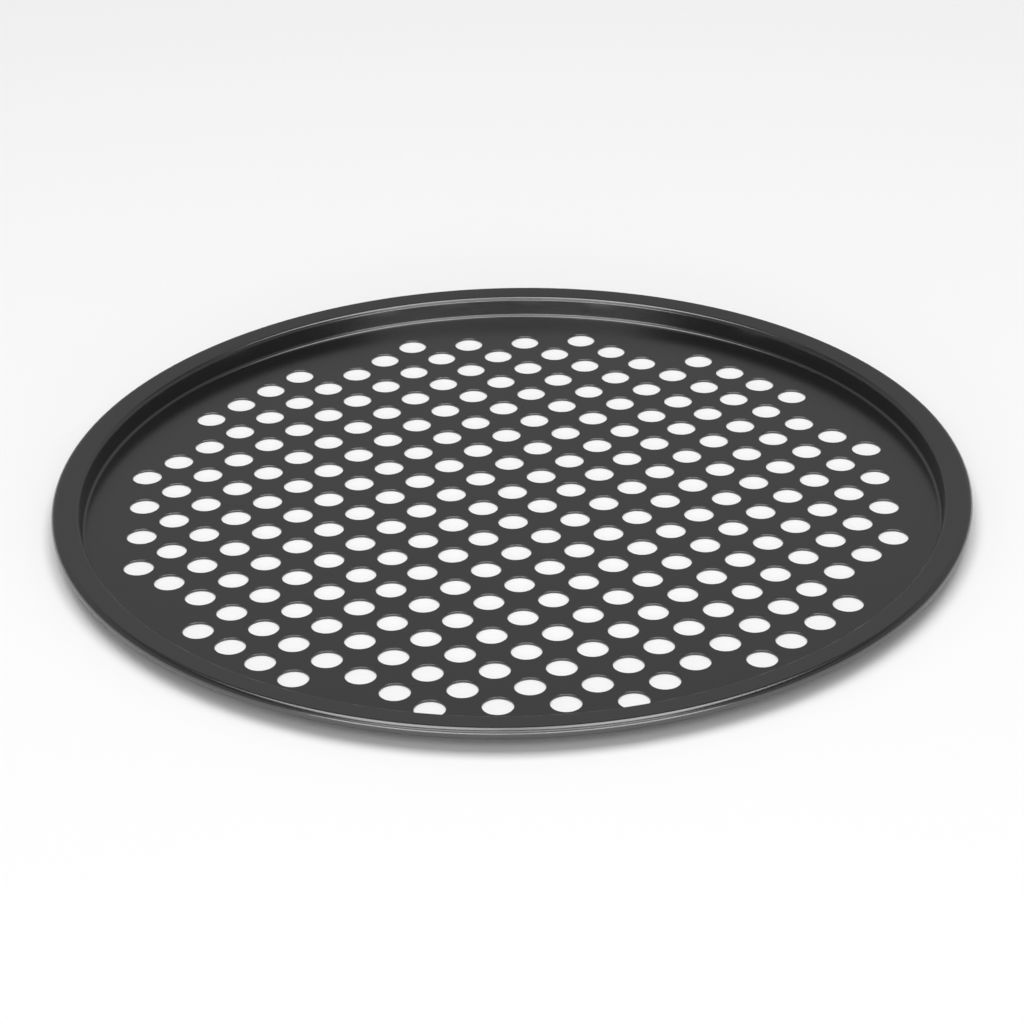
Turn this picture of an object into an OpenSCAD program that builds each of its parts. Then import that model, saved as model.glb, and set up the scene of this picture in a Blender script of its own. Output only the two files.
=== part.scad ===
// Round perforated pizza pan: one disc of coated steel sheet, drawn to a shallow
// well with a rim, its edge rolled into a bead and its floor punched full of holes.
// Millimetres. The origin is at the centre of the underside of the floor, +Z is up.

/* [Pan] */
// Diameter over the rolled edge
pan_d = 320; // [200:1:400]
// Height of the bead's top above the table
rim_h = 9.1; // [8:0.1:20]
// Thickness of the coated sheet
sheet = 0.8; // [0.5:0.1:1.1]

/* [Wall] */
// Lean of the wall away from upright, in degrees
wall_lean = 3; // [0:1:30]
// Inside radius of the bend from the floor up to the wall
floor_bend_r = 1.2; // [0.5:0.1:2.5]

/* [Rim] */
// Width of the rim, from the top of the wall to the outer edge
rim_w = 9.8; // [8.5:0.1:30]
// Slope of the rim, rising towards the edge, in degrees
rim_slope = 4; // [0:1:8]
// Radius of the bend from the wall out to the rim, on the upper face
rim_bend_r = 1.5; // [1.3:0.1:2.5]
// Diameter of the bead rolled along the edge
bead_d = 4.2; // [3:0.1:6]
// How far the sheet turns round the bead, in degrees
bead_turn = 270; // [180:5:290]

/* [Holes] */
// Diameter of each punched hole
hole_d = 10.3; // [4:0.1:11]
// Bevel that runs round the upper edge of each hole
hole_edge = 0.2; // [0.1:0.05:0.4]
// Distance between neighbouring hole centres along a row
hole_pitch = 15.25; // [13:0.05:24]
// Plain border between the wall and the circle that holds every hole centre
border = 16.5; // [12:0.5:40]
// Direction of the rows, in degrees from the X axis
row_turn = 47.3; // [0:0.1:90]
// How far the punched field sits to the right of the pan's axis
field_right = 0.3; // [-3:0.1:3]
// How far the punched field sits in front of the pan's axis
field_front = 3; // [-3:0.1:3]
// How much closer than one pitch the field's two punched halves meet
half_closing = 0.6; // [0:0.1:1]
// How far the two halves are out of step along the line where they meet
half_slip = 0.6; // [0:0.1:1]

/* [Hidden] */
$fn = 180;
pan_colour = [0.13, 0.13, 0.14];

// Radii at the top of the wall and round the bead
well_r = pan_d / 2 - rim_w;
bead_r = bead_d / 2;

// Centres of the bends in the section, found from the edge inwards. The straight rim touches
// the bead and the rim bend, and the straight wall touches the rim bend and the floor bend.
bead_c = [pan_d / 2 - bead_r, rim_h - bead_r];
rim_bend_x = well_r + rim_bend_r * cos(wall_lean);
rim_len = (bead_c.x - rim_bend_x - (bead_r - rim_bend_r) * sin(rim_slope)) / cos(rim_slope);
rim_drop = rim_len * sin(rim_slope) - (bead_r - rim_bend_r) * cos(rim_slope);
rim_bend_c = [rim_bend_x, bead_c.y - rim_drop];
floor_bend_z = sheet + floor_bend_r;
bends_r = floor_bend_r + rim_bend_r;
wall_len = (rim_bend_c.y - floor_bend_z + bends_r * sin(wall_lean)) / cos(wall_lean);
wall_in = bends_r * cos(wall_lean) + wall_len * sin(wall_lean);
floor_bend_c = [rim_bend_c.x - wall_in, floor_bend_z];

// Degrees between the points along a bend
bend_step = 6;

// How far a tool runs past what it cuts
over = 1;

// Points round a bend with centre c and radius r, from one angle to another
function bend(c, r, from, to) =
    let (steps = ceil(abs(to - from) / bend_step))
    [for (k = [0 : steps]) let (a = from + (to - from) * k / steps) c + r * [cos(a), sin(a)]];

// One face of the sheet in section, from the edge of the flat floor to the end of the bead.
// Depth 0 is the upper face, and one sheet deep is the lower face.
function face(depth) = concat(
    bend(floor_bend_c, floor_bend_r + depth, -90, -wall_lean),
    bend(rim_bend_c, rim_bend_r - depth, 180 - wall_lean, 90 + rim_slope),
    bend(bead_c, bead_r - depth, 90 + rim_slope, 90 + rim_slope - bead_turn)
);

// Section of the wall, rim and bead: out along the upper face and back along the lower one
module edge_section() {
    upper = face(0);
    lower = face(sheet);
    polygon(concat(upper, [for (k = [len(lower) - 1 : -1 : 0]) lower[k]]));
}

// Half of the outline of one punch: the hole, with its upper edge bevelled
module punch_outline() {
    hole_r = hole_d / 2;
    polygon([
        [0, -over],
        [hole_r, -over],
        [hole_r, sheet - hole_edge],
        [hole_r + hole_edge + over, sheet + over],
        [0, sheet + over],
    ]);
}

// Places of the holes on a square grid, as many as a round field inside the border takes.
// Two strokes punch it, one for each half, which meet a little close and out of step.
module hole_field() {
    field_r = well_r - border;
    reach = ceil(field_r / hole_pitch);
    translate([field_right, -field_front]) rotate(row_turn)
        for (i = [-reach : reach - 1], j = [-reach : reach - 1]) {
            spot = [i + 0.5, j + 0.5] * hole_pitch;
            shift = sign(spot.y) / 2 * [half_slip, -half_closing];
            if (norm(spot) <= field_r) translate(spot + shift) children();
        }
}

// The flat floor, out to where the sheet starts to bend up
module punched_floor() {
    difference() {
        cylinder(r = floor_bend_c.x, h = sheet);
        hole_field() rotate_extrude() punch_outline();
    }
}

module pan() {
    color(pan_colour) {
        punched_floor();
        rotate_extrude() edge_section();
    }
}

pan();
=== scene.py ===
# %% [markdown]
# A round pizza pan: one disc of sheet steel, drawn to a shallow well, rolled along its
# edge, punched full of holes and coated in a satin charcoal non-stick finish.
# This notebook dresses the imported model. The frame gives the pan's place and size, and
# everything below is worked out from it and from the few sizes of the section.

# %% Load the frame
import math

import bmesh
import bpy
from mathutils import Euler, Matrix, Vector, geometry


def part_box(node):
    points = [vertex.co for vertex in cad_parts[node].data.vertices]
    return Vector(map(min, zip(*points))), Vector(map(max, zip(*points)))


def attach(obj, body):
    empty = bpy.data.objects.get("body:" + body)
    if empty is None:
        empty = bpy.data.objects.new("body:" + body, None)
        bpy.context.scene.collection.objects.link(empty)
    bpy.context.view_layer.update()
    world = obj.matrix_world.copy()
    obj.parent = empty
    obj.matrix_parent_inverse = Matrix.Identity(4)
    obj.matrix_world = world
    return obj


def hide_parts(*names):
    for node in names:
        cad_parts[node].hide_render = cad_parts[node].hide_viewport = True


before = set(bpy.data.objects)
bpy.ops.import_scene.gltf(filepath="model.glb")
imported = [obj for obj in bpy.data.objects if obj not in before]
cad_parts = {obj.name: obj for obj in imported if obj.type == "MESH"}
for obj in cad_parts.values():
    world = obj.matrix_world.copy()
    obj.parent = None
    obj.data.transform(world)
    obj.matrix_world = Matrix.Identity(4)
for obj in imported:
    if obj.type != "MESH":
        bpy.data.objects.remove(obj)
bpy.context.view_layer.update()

MM = 0.001
low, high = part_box("pan")
print("frame box in mm:", [round(v / MM, 1) for v in low], [round(v / MM, 1) for v in high])

# %% [markdown]
# The camera comes first, because everything is judged through it. The photograph was
# taken with a long lens from about 1.2 m away, 29 degrees above the table. The camera
# leans about a degree to one side, which is why the far rim isn't quite level.

# %% Camera
CAMERA_FRONT = 1016.2 * MM
CAMERA_HEIGHT = 562.0 * MM
CAMERA_DOWN = math.radians(29.08)
CAMERA_LEAN = math.radians(-1.19)
FOCAL_LENGTH = 116.4
SENSOR = 36.0

camera_data = bpy.data.cameras.new("camera")
camera_data.lens = FOCAL_LENGTH
camera_data.sensor_width = SENSOR
camera = bpy.data.objects.new("camera", camera_data)
bpy.context.scene.collection.objects.link(camera)
camera.location = (0, -CAMERA_FRONT, CAMERA_HEIGHT)
tilt = Euler((math.pi / 2 - CAMERA_DOWN, 0, 0)).to_matrix()
lean = Euler((0, 0, CAMERA_LEAN)).to_matrix()
camera.rotation_euler = (tilt @ lean).to_euler()
bpy.context.scene.camera = camera
print("camera distance in mm:", round(camera.location.length / MM))

# %% [markdown]
# A material in Blender is a graph of nodes. Written by hand, each sum or product in it
# takes several lines, so this small class wraps a socket and lets Python's own signs
# add the Math nodes. Every other kind of node comes from its one method, node().

# %% Shader arithmetic
class Shade:
    """One output socket of a node tree, which can be used in a sum."""

    def __init__(self, tree, socket=None):
        self.tree = tree
        self.socket = socket

    def node(self, kind, settings=None, inputs=None, output=0):
        """Adds a node, sets it up, fills or links its inputs and gives one of its outputs."""
        made = self.tree.nodes.new(kind)
        for name, value in (settings or {}).items():
            setattr(made, name, value)
        for name, value in (inputs or {}).items():
            if isinstance(value, Shade):
                self.tree.links.new(value.socket, made.inputs[name])
            else:
                made.inputs[name].default_value = value
        return Shade(self.tree, made.outputs[output] if made.outputs else None)

    def maths(self, operation, *values):
        return self.node("ShaderNodeMath", {"operation": operation}, dict(enumerate(values)))

    def __add__(self, other):
        return self.maths("ADD", self, other)

    __radd__ = __add__

    def __sub__(self, other):
        return self.maths("SUBTRACT", self, other)

    def __rsub__(self, other):
        return self.maths("SUBTRACT", other, self)

    def __mul__(self, other):
        return self.maths("MULTIPLY", self, other)

    __rmul__ = __mul__

    def step(self, low, high):
        """0 below low, 1 above high, and a smooth rise between them."""
        ranges = {"Value": self, "From Min": low, "From Max": high}
        return self.node("ShaderNodeMapRange", {"interpolation_type": "SMOOTHSTEP"}, ranges)


def empty_tree(owner):
    """Turns an owner's nodes on and clears them."""
    owner.use_nodes = True
    owner.node_tree.nodes.clear()
    return Shade(owner.node_tree)


# Places of the Mix node's colour sockets, which share their names with its other sockets
MIX_FIRST = 6
MIX_SECOND = 7
MIX_RESULT = 2


def mix_colour(shade, amount, first, second):
    """Colours are mixed by a Mix node, because a Math node would turn them grey."""
    colours = {"Factor": amount, MIX_FIRST: first, MIX_SECOND: second}
    return shade.node("ShaderNodeMix", {"data_type": "RGBA"}, colours, output=MIX_RESULT)


# %% [markdown]
# The coating is a thin black film with fine metal flake in it, sprayed on and baked.
# It isn't flat: it has the faint pebble of sprayed paint, about half a millimetre
# across, which breaks every highlight into grains. Its sheen varies a little over
# patches of a few pebbles.

# %% Coated steel
COAT_DARK = (0.0022, 0.0022, 0.0024, 1)
COAT_LIGHT = (0.0065, 0.0065, 0.0070, 1)
COAT_ROUGHNESS = 0.23
COAT_ROUGHNESS_SPREAD = 0.06
COAT_IOR = 2.0
PEBBLE = 0.5 * MM
PEBBLE_HEIGHT = 0.004 * MM
PATCH = 4 * PEBBLE
FLAKE = 0.25 * MM
FLAKE_STARTS = 0.45
FLAKE_FULL = 0.75
NOISE_ROUGHNESS = 0.6
NOISE_MIDDLE = 0.5


def coated_steel():
    material = bpy.data.materials.new("coated_steel")
    shade = empty_tree(material)
    place = shade.node("ShaderNodeTexCoord", output="Object")

    def noise(size, detail):
        grain = {"Vector": place, "Scale": 1 / size, "Detail": detail}
        return shade.node("ShaderNodeTexNoise", None, {**grain, "Roughness": NOISE_ROUGHNESS})

    flake = noise(FLAKE, 1.0).step(FLAKE_STARTS, FLAKE_FULL)
    pebble = noise(PEBBLE, 2.0)
    colour = mix_colour(shade, flake, COAT_DARK, COAT_LIGHT)
    patches = (noise(PATCH, 2.0) - NOISE_MIDDLE) * COAT_ROUGHNESS_SPREAD
    roughness = COAT_ROUGHNESS + patches
    relief = {"Strength": 1.0, "Distance": PEBBLE_HEIGHT, "Height": pebble}
    bump = shade.node("ShaderNodeBump", None, relief)
    surface = shade.node(
        "ShaderNodeBsdfPrincipled",
        None,
        {"Base Color": colour, "Roughness": roughness, "IOR": COAT_IOR, "Normal": bump},
    )
    shade.node("ShaderNodeOutputMaterial", None, {"Surface": surface})
    return material


coating = coated_steel()
print("coating nodes:", len(coating.node_tree.nodes))

# %% [markdown]
# The sheet is 0.8 mm thick. From the flat floor it bends up into the wall, bends out
# into the rim, and its edge is rolled under into a bead, which hides the cut edge and
# stiffens the pan. Each bend is an arc, and the straight stretches run between them.

# %% Sizes of the section
SHEET = 0.8 * MM
WALL_LEAN = math.radians(3)
FLOOR_BEND = 1.2 * MM
RIM_WIDTH = 9.8 * MM
RIM_SLOPE = math.radians(4)
RIM_BEND = 1.5 * MM
BEAD = 4.2 * MM / 2
BEAD_TURN = math.radians(270)

UP = math.radians(90)
pan_radius = high.x
bead_centre = Vector((pan_radius - BEAD, high.z - BEAD))
rim_bend_x = pan_radius - RIM_WIDTH + RIM_BEND * math.cos(WALL_LEAN)
rim_run = bead_centre.x - rim_bend_x - (BEAD - RIM_BEND) * math.sin(RIM_SLOPE)
rim_rise = rim_run * math.tan(RIM_SLOPE) - (BEAD - RIM_BEND) * math.cos(RIM_SLOPE)
rim_centre = Vector((rim_bend_x, bead_centre.y - rim_rise))
floor_bend_z = SHEET + FLOOR_BEND
both_bends = FLOOR_BEND + RIM_BEND
wall_rise = rim_centre.y - floor_bend_z + both_bends * math.sin(WALL_LEAN)
wall_inset = both_bends * math.cos(WALL_LEAN) + wall_rise * math.tan(WALL_LEAN)
floor_centre = Vector((rim_centre.x - wall_inset, floor_bend_z))
print("flat floor radius in mm:", round(floor_centre.x / MM, 2))


# %% [markdown]
# The section is drawn twice, once along the upper face and once along the lower face,
# and then turned round the axis. A lathe or Screw modifier would do it too, but rings
# of vertices made here can be shared with the floor, so that the pan is one skin.

# %% Draw the section
ARC_STEPS = {"floor": 6, "rim": 8, "bead": 24}
UNDER_STEPS = {"floor": 6, "rim": 4, "bead": 12}


def arc(centre, radius, start, end, steps):
    """Points round a bend, as (distance from the axis, height)."""
    angles = [start + (end - start) * k / steps for k in range(steps + 1)]
    return [centre + radius * Vector((math.cos(a), math.sin(a))) for a in angles]


def sheet_face(depth, steps):
    """One face of the sheet from the flat floor out to the end of the bead."""
    rim_up = UP + RIM_SLOPE
    floor_bend = arc(floor_centre, FLOOR_BEND + depth, -UP, -WALL_LEAN, steps["floor"])
    rim_bend = arc(rim_centre, RIM_BEND - depth, 2 * UP - WALL_LEAN, rim_up, steps["rim"])
    bead = arc(bead_centre, BEAD - depth, rim_up, rim_up - BEAD_TURN, steps["bead"])
    return floor_bend + rim_bend + bead


section = sheet_face(0, ARC_STEPS) + sheet_face(SHEET, UNDER_STEPS)[::-1]
print("points in the section:", len(section))

# %% [markdown]
# The holes lie on a square grid that is turned 47 degrees to the pan. Two strokes of the
# press punch them, and the two halves meet a little closer than one pitch and slightly
# out of step, which is easy to miss and gives the real pattern its seam.

# %% Places of the holes
HOLE = 10.3 * MM / 2
PITCH = 15.25 * MM
BORDER = 16.5 * MM
ROW_TURN = math.radians(47.3)
FIELD_PLACE = Vector((0.3, -3.0)) * MM
HALF_CLOSING = 0.6 * MM
HALF_SLIP = 0.6 * MM


def hole_places():
    field = pan_radius - RIM_WIDTH - BORDER
    reach = math.ceil(field / PITCH)
    turn = Vector((math.cos(ROW_TURN), math.sin(ROW_TURN)))
    places = []
    for i in range(-reach, reach):
        for j in range(-reach, reach):
            spot = Vector((i + 0.5, j + 0.5)) * PITCH
            if spot.length > field:
                continue
            side = math.copysign(0.5, spot.y)
            spot += side * Vector((HALF_SLIP, -HALF_CLOSING))
            turned = Vector((spot.x * turn.x - spot.y * turn.y, spot.x * turn.y + spot.y * turn.x))
            places.append(FIELD_PLACE + turned)
    return places


holes = hole_places()
print("holes:", len(holes))

# %% [markdown]
# Punching rounds the upper edge of each hole a little, and the coating rounds it more.
# That small round matters: it draws the thin light line above every hole. Each hole is a
# stack of rings, and the flat faces between the rings are filled by a constrained
# triangulation, which leaves the holes open and needs no boolean.

# %% Skin of the sheet
TURN_STEPS = 384
HOLE_STEPS = 32
HOLE_ROUND = 0.25 * MM
HOLE_ROUND_UNDER = 0.1 * MM
HOLE_ROUND_STEPS = 4
HOLE_ROUND_UNDER_STEPS = 2


def ring(skin, middle, radius, height, steps):
    """A ring of vertices round a middle point."""
    made = []
    for k in range(steps):
        a = 2 * math.pi * k / steps
        x = middle.x + radius * math.cos(a)
        y = middle.y + radius * math.sin(a)
        made.append(skin.verts.new((x, y, height)))
    return made


def join_rings(skin, upper, lower):
    """Quads between two rings that have as many vertices each."""
    count = len(upper)
    for k in range(count):
        n = (k + 1) % count
        skin.faces.new((upper[k], upper[n], lower[n], lower[k]))


def hole_profile():
    """From the upper face down through the hole, as (distance from its middle, height)."""
    top = Vector((HOLE + HOLE_ROUND, SHEET - HOLE_ROUND))
    under = Vector((HOLE + HOLE_ROUND_UNDER, HOLE_ROUND_UNDER))
    down = arc(top, HOLE_ROUND, UP, 2 * UP, HOLE_ROUND_STEPS)
    return down + arc(under, HOLE_ROUND_UNDER, 2 * UP, 3 * UP, HOLE_ROUND_UNDER_STEPS)


# The triangulation keeps what lies inside the outer ring, and gives its faces third
KEEP_INSIDE = 1
SAME_POINT = 0.0001 * MM
FACES_MADE = 2


def fill_flat(skin, outer, inner, upward):
    """Fills the flat face between an outer ring and the rings of the holes."""
    verts = []
    edges = []
    owner = []
    for number, loop in enumerate([outer, *inner]):
        start = len(verts)
        count = len(loop)
        verts += loop
        edges += [(start + k, start + (k + 1) % count) for k in range(count)]
        owner += [number] * count
    flat = [v.co.to_2d() for v in verts]
    filled = geometry.delaunay_2d_cdt(flat, edges, [], KEEP_INSIDE, SAME_POINT)
    made = 0
    for corners in filled[FACES_MADE]:
        rings_met = {owner[k] for k in corners}
        if len(rings_met) == 1 and rings_met != {0}:
            continue
        order = corners if upward else corners[::-1]
        skin.faces.new([verts[k] for k in order])
        made += 1
    return made


def pan_skin():
    skin = bmesh.new()
    axis = Vector((0, 0))
    turned = [ring(skin, axis, p.x, p.y, TURN_STEPS) for p in section]
    for first, second in zip(turned, turned[1:]):
        join_rings(skin, second, first)
    drilled = [[ring(skin, h, p.x, p.y, HOLE_STEPS) for p in hole_profile()] for h in holes]
    for rings in drilled:
        for first, second in zip(rings, rings[1:]):
            join_rings(skin, second, first)
    top = fill_flat(skin, turned[0], [rings[0] for rings in drilled], True)
    under = fill_flat(skin, turned[-1], [rings[-1] for rings in drilled], False)
    print("triangles in the floor's two faces:", top, under)
    return skin


# %% Make the piece
SHARP_ANGLE = math.radians(50)


def make_pan():
    skin = pan_skin()
    bmesh.ops.recalc_face_normals(skin, faces=skin.faces)
    mesh = bpy.data.meshes.new("pan_sheet")
    skin.to_mesh(mesh)
    skin.free()
    mesh.shade_smooth()
    mesh.set_sharp_from_angle(angle=SHARP_ANGLE)
    mesh.materials.append(coating)
    piece = bpy.data.objects.new("pan_sheet", mesh)
    bpy.context.scene.collection.objects.link(piece)
    flat = piece.modifiers.new("keep flat faces flat", "WEIGHTED_NORMAL")
    flat.keep_sharp = True
    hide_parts("pan")
    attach(piece, "root")
    return piece


pan = make_pan()
triangles = sum(len(p.vertices) - 2 for p in pan.data.polygons)
print("pan_sheet triangles:", triangles)

# %% [markdown]
# The pan stands on a wide white table, which fills the picture and takes the pan's soft
# shadow. Round the pan it is plain white.

# %% Table
TABLE_SIZE = 12.0
TABLE_COLOUR = (0.79, 0.79, 0.79, 1)
WHITE = (1, 1, 1, 1)


def white_table():
    half = TABLE_SIZE / 2
    mesh = bpy.data.meshes.new("table")
    corners = [(-half, -half, 0), (half, -half, 0), (half, half, 0), (-half, half, 0)]
    mesh.from_pydata(corners, [], [(0, 1, 2, 3)])
    material = bpy.data.materials.new("table_white")
    shade = empty_tree(material)
    surface = shade.node("ShaderNodeBsdfDiffuse", None, {"Color": TABLE_COLOUR})
    shade.node("ShaderNodeOutputMaterial", None, {"Surface": surface})
    mesh.materials.append(material)
    table = bpy.data.objects.new("table", mesh)
    bpy.context.scene.collection.objects.link(table)


white_table()

# %% [markdown]
# A satin black object shows its lights more than its own colour. The studio is a low
# pale backdrop all round, dark above it, with two large softboxes overhead, two low
# strips at the front and a fill over the camera. They draw the lines along the bends.

# %% Studio
BACKDROP_TOP = math.sin(math.radians(38))
BACKDROP_FADE = math.sin(math.radians(46))
ROOM_LEVEL = 0.05
BACKDROP_LEVEL = 0.34


def studio_world():
    world = bpy.data.worlds.new("studio")
    bpy.context.scene.world = world
    shade = empty_tree(world)
    direction = shade.node("ShaderNodeTexCoord", output="Generated")
    height = shade.node("ShaderNodeSeparateXYZ", None, {"Vector": direction}, output="Z")
    above = height.step(BACKDROP_TOP, BACKDROP_FADE)
    level = BACKDROP_LEVEL + above * (ROOM_LEVEL - BACKDROP_LEVEL)
    light = shade.node("ShaderNodeBackground", None, {"Color": WHITE, "Strength": level})
    shade.node("ShaderNodeOutputWorld", None, {"Surface": light})


def softbox(name, azimuth, elevation, distance, width, depth, level):
    """An area lamp aimed at the pan. Its level is how bright its face looks, and its
    azimuth is 0 on the camera's side and grows towards the right."""
    lamp = bpy.data.lights.new(name, "AREA")
    lamp.shape = "RECTANGLE"
    lamp.size = width
    lamp.size_y = depth
    lamp.energy = level * math.pi * width * depth
    holder = bpy.data.objects.new(name, lamp)
    bpy.context.scene.collection.objects.link(holder)
    a, e = math.radians(azimuth), math.radians(elevation)
    back = Vector((math.sin(a) * math.cos(e), -math.cos(a) * math.cos(e), math.sin(e)))
    holder.location = back * distance
    holder.rotation_euler = back.to_track_quat("Z", "Y").to_euler()
    holder.visible_camera = False


def softbox_pair(name, azimuth, **face):
    """The same softbox on the left and on the right."""
    softbox(name + "_left", -azimuth, **face)
    softbox(name + "_right", azimuth, **face)


OVERHEAD = {"elevation": 76, "distance": 2.5, "width": 2.0, "depth": 1.1, "level": 4.1}
LOW_STRIP = {"elevation": 6, "distance": 3.0, "width": 2.4, "depth": 0.7, "level": 5.6}
FRONT_FILL = {"elevation": 42, "distance": 3.0, "width": 3.8, "depth": 1.2, "level": 2.4}

studio_world()
softbox_pair("overhead_softbox", 90, **OVERHEAD)
softbox_pair("front_strip", 23, **LOW_STRIP)
softbox("front_fill", 0, **FRONT_FILL)
print("lamps:", len(bpy.data.lights))

# %% Picture settings
bpy.context.scene.view_settings.view_transform = "Standard"
